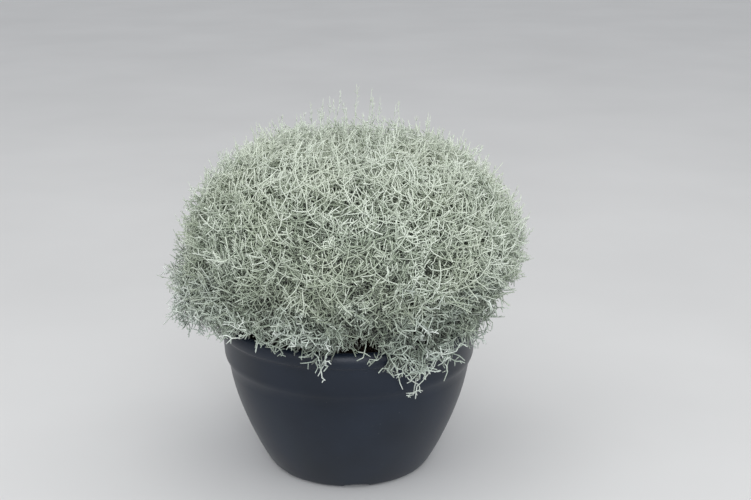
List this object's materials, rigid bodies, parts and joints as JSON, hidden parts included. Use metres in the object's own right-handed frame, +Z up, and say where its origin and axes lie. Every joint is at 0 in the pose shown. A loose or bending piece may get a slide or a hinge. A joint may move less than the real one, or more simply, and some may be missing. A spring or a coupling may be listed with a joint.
{
  "type": "potted cushion bush",
  "caption": "Dense round cushion of wiry silver foliage on forked woody stems, growing in soil in a wide bowl pot with a rolled lip.",
  "frame": {"origin": "middle of the pot's foot, on the surface that it stands on", "axes": "+Z up the pot's axis; -Y towards the front, the side with the cleft between the two front plants; +X to the right seen from the front"},
  "size_m": [0.3921, 0.3842, 0.3886],
  "materials": {
    "pot_plastic": "satin injection-moulded anthracite",
    "soil": "moist peat crumb",
    "bark": "dull grey bark",
    "silver_twigs": "felted silver grey-green twigs"
  },
  "bodies": {
    "root": {"pot": "pot_plastic", "potting_soil": "soil", "stems_front_right": "bark", "stems_back": "bark", "stems_front_left": "bark", "foliage_front_right": "silver_twigs", "foliage_back": "silver_twigs", "foliage_front_left": "silver_twigs"}
  },
  "joints": []
}
